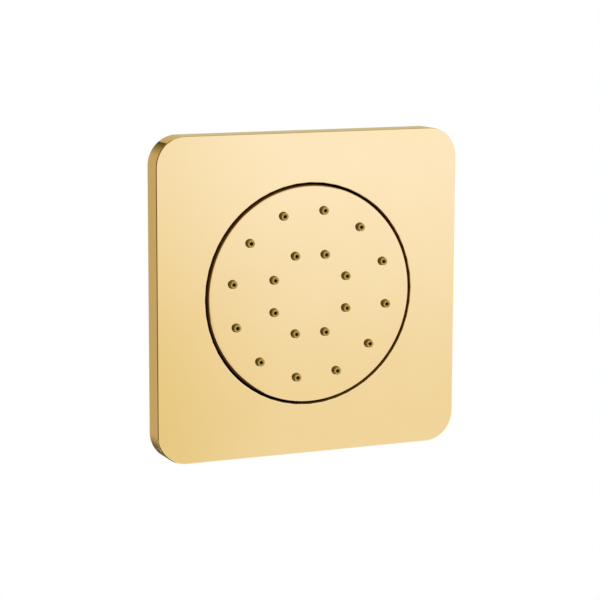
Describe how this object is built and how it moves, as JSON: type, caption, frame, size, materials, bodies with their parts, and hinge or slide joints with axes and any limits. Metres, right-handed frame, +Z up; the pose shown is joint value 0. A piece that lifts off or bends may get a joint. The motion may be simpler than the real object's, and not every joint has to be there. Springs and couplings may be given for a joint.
{
  "type": "shower head",
  "caption": "Square flush wall shower head: a gold cover plate with a round spray disc of soft nozzles that tilts on a ball joint, over a recessed cup with a threaded inlet.",
  "frame": {"origin": "centre of the cover plate's rim on the wall's face, on the inlet's axis", "axes": "+Y into the wall along the inlet, -Y out to the room, +Z up, +X to the right for someone facing the plate"},
  "size_m": [0.13, 0.0633, 0.13],
  "materials": {
    "gold": "polished gold-coloured metal coating on brass",
    "nozzle_rubber": "soft satin silicone",
    "gasket_foam": "closed-cell foam",
    "housing_plastic": "moulded, matt",
    "spring_steel": "bright spring strip",
    "stem_brass": "turned, bare",
    "nut_plastic": "moulded, satin",
    "seal_rubber": "moulded rubber",
    "washer_fibre": "pressed fibre",
    "cartridge_plastic": "moulded, satin",
    "filter_steel": "perforated sheet",
    "liner_plastic": "slippery satin plastic",
    "head_plastic": "moulded, matt"
  },
  "bodies": {
    "wall_unit": {"face_plate": "gold", "wall_gasket": "gasket_foam", "mounting_frame": "housing_plastic", "recess_cup": "housing_plastic", "plate_clips": "spring_steel", "ball_stem": "stem_brass", "stem_washer": "seal_rubber", "lock_washer": "washer_fibre", "lock_nut": "stem_brass", "flow_regulator": "cartridge_plastic", "regulator_ring": "seal_rubber", "filter_screen": "filter_steel"},
    "tilting_liner": {"slip_ring": "liner_plastic"},
    "tilting_seal": {"ball_seal": "seal_rubber"},
    "spray_head": {"spray_face": "gold", "nozzle_mat": "nozzle_rubber", "water_plate": "head_plastic", "chamber_shell": "head_plastic", "chamber_seal": "seal_rubber", "clamp_ring": "stem_brass", "ball_nut": "nut_plastic"}
  },
  "joints": [
    {"name": "tilt_up_down", "type": "hinge", "parent": "wall_unit", "child": "tilting_liner", "pos_m": [0, 0.00668, 0], "axis": [1, 0, 0], "range_deg": [-7, 7]},
    {"name": "tilt_sideways", "type": "hinge", "parent": "tilting_liner", "child": "tilting_seal", "pos_m": [0, 0.00668, 0], "axis": [0, 0, 1], "range_deg": [-7, 7]},
    {"name": "disc_turn", "type": "hinge", "parent": "tilting_seal", "child": "spray_head", "pos_m": [0, 0.00668, 0], "axis": [0, 1, 0], "continuous": true}
  ]
}
